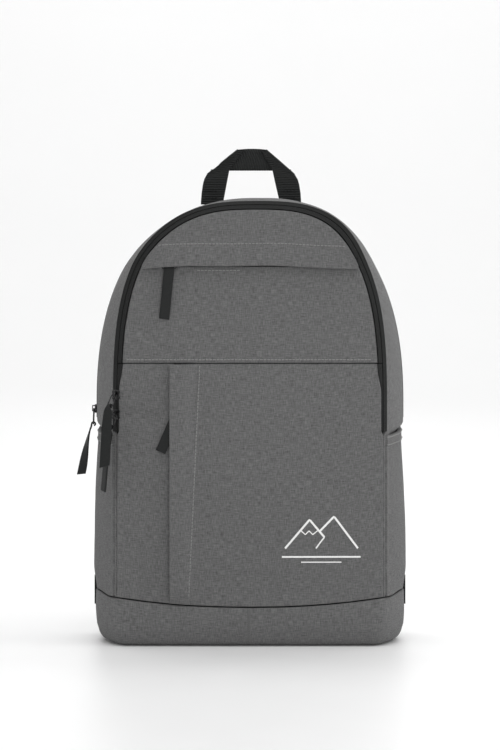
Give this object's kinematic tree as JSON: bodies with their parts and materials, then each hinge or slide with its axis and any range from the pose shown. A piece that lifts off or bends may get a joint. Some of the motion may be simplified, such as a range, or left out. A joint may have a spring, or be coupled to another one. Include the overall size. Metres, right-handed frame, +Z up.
{
  "type": "daypack",
  "caption": "Soft two-compartment daypack with zipped arched front, fold-down halves, zipped front pockets, side slip pockets, grab handle and padded shoulder straps.",
  "frame": {"origin": "centre of the flat underside of the base, on the ground", "axes": "+Z up, the front faces -Y, +X is the viewer's right when facing the front"},
  "size_m": [0.3236, 0.2, 0.4793],
  "materials": {
    "pack_cloth": "matte woven polyester, mid grey",
    "side_cloth": "matte woven polyester, slightly lighter grey",
    "zip_tape": "black woven zip tape with nylon coil",
    "webbing": "black ribbed webbing",
    "lining": "dark grey lining cloth",
    "air_mesh": "black spacer mesh over foam",
    "slider_metal": "gunmetal zip sliders and wire loops",
    "buckle_plastic": "black moulded plastic",
    "base_foam": "dark closed-cell foam board"
  },
  "bodies": {
    "shell": {"back_pad": "air_mesh", "back_panel": "pack_cloth", "base_board": "base_foam", "base_panel": "pack_cloth", "divider_lower": "lining", "front_panel_lower": "pack_cloth", "front_panel_side": "pack_cloth", "front_zip_end_left": "zip_tape", "front_zip_end_right": "zip_tape", "pocket_hem_left": "pack_cloth", "pocket_hem_right": "pack_cloth", "rear_gusset": "side_cloth", "rear_zip_back_tape": "zip_tape", "rear_zip_end_left": "zip_tape", "rear_zip_end_right": "zip_tape", "side_panel_left": "side_cloth", "side_panel_right": "side_cloth", "side_pocket_flap": "pack_cloth", "side_pocket_left": "pack_cloth", "side_pocket_right": "pack_cloth", "side_pocket_zip": "zip_tape", "strap_anchor_left": "webbing", "strap_anchor_right": "webbing", "strap_yoke_left": "pack_cloth", "strap_yoke_right": "pack_cloth"},
    "front_half": {"front_gusset": "side_cloth", "rear_zip_front_tape": "zip_tape", "front_zip_gusset_tape": "zip_tape", "divider_upper": "lining"},
    "front_flap": {"front_zip_flap_tape": "zip_tape", "front_panel_upper": "pack_cloth", "top_pocket_zip": "zip_tape", "top_pocket_flap": "pack_cloth"},
    "handle": {"grab_handle": "webbing"},
    "front_slider_upper": {"front_slider_upper": "slider_metal"},
    "front_puller_upper": {"front_puller_upper_loop": "slider_metal", "front_puller_upper_ribbon": "webbing"},
    "front_slider_lower": {"front_slider_lower": "slider_metal"},
    "front_puller_lower": {"front_puller_lower_loop": "slider_metal", "front_puller_lower_ribbon": "webbing"},
    "rear_slider": {"rear_slider": "slider_metal"},
    "rear_puller": {"rear_puller_loop": "slider_metal", "rear_puller_ribbon": "webbing"},
    "top_slider": {"top_slider": "slider_metal"},
    "top_puller": {"top_puller_loop": "slider_metal", "top_puller_ribbon": "webbing"},
    "side_slider": {"side_slider": "slider_metal"},
    "side_puller": {"side_puller_loop": "slider_metal", "side_puller_ribbon": "webbing"},
    "strap_left": {"strap_pad_left": "air_mesh", "ladder_lock_left": "buckle_plastic", "lock_loop_left": "webbing", "strap_webbing_left": "webbing"},
    "strap_right": {"strap_pad_right": "air_mesh", "ladder_lock_right": "buckle_plastic", "lock_loop_right": "webbing", "strap_webbing_right": "webbing"}
  },
  "joints": [
    {"name": "rear_compartment_fold", "type": "hinge", "parent": "shell", "child": "front_half", "pos_m": [0, -0.069, 0.267], "axis": [1, 0, 0], "range_deg": [0, 40]},
    {"name": "front_compartment_fold", "type": "hinge", "parent": "front_half", "child": "front_flap", "pos_m": [0, -0.069, 0.267], "axis": [1, 0, 0], "range_deg": [0, 70]},
    {"name": "handle_lean", "type": "hinge", "parent": "shell", "child": "handle", "pos_m": [0, 0.046, 0.4275], "axis": [1, 0, 0], "range_deg": [-25, 25], "stiffness_Nm_per_rad": 0.05},
    {"name": "front_slider_upper_travel", "type": "slide", "parent": "shell", "child": "front_slider_upper", "axis": [0, 0, 1], "range_m": [0, 0.02]},
    {"name": "front_puller_upper_swing", "type": "hinge", "parent": "front_slider_upper", "child": "front_puller_upper", "pos_m": [-0.12731, -0.06238, 0.2375], "axis": [-0.8159, 0.5718, 0.0854], "range_deg": [0, 70]},
    {"name": "front_slider_lower_travel", "type": "slide", "parent": "shell", "child": "front_slider_lower", "axis": [0, 0, 1], "range_m": [-0.008, 0.001]},
    {"name": "front_puller_lower_swing", "type": "hinge", "parent": "front_slider_lower", "child": "front_puller_lower", "pos_m": [-0.12731, -0.06238, 0.219], "axis": [-0.8048, 0.564, 0.185], "range_deg": [0, 5]},
    {"name": "rear_slider_travel", "type": "slide", "parent": "shell", "child": "rear_slider", "axis": [0, 0, 1], "range_m": [-0.001, 0.045]},
    {"name": "rear_puller_swing", "type": "hinge", "parent": "rear_slider", "child": "rear_puller", "pos_m": [-0.15184, 0.012, 0.2235], "axis": [0, 1, 0], "range_deg": [0, 70]},
    {"name": "top_slider_travel", "type": "slide", "parent": "front_flap", "child": "top_slider", "axis": [1, 0, 0], "range_m": [-0.008, 0.135]},
    {"name": "top_puller_swing", "type": "hinge", "parent": "top_slider", "child": "top_puller", "pos_m": [-0.076, -0.06302, 0.362], "axis": [-0.9999, 0, 0.01], "range_deg": [0, 3]},
    {"name": "side_slider_travel", "type": "slide", "parent": "shell", "child": "side_slider", "axis": [0, 0.0255, 0.9997], "range_m": [-0.04, 0.018]},
    {"name": "side_puller_swing", "type": "hinge", "parent": "side_slider", "child": "side_puller", "pos_m": [-0.06814, -0.0658, 0.2295], "axis": [-0.0671, -0.9976, -0.0143], "range_deg": [-6, 10]},
    {"name": "strap_left_swing", "type": "hinge", "parent": "shell", "child": "strap_left", "pos_m": [-0.052, 0.08, 0.41], "axis": [0.2351, 0.0197, 0.9718], "range_deg": [-12, 15]},
    {"name": "strap_right_swing", "type": "hinge", "parent": "shell", "child": "strap_right", "pos_m": [0.052, 0.08, 0.41], "axis": [0.2351, -0.0197, -0.9718], "range_deg": [-12, 15]}
  ]
}
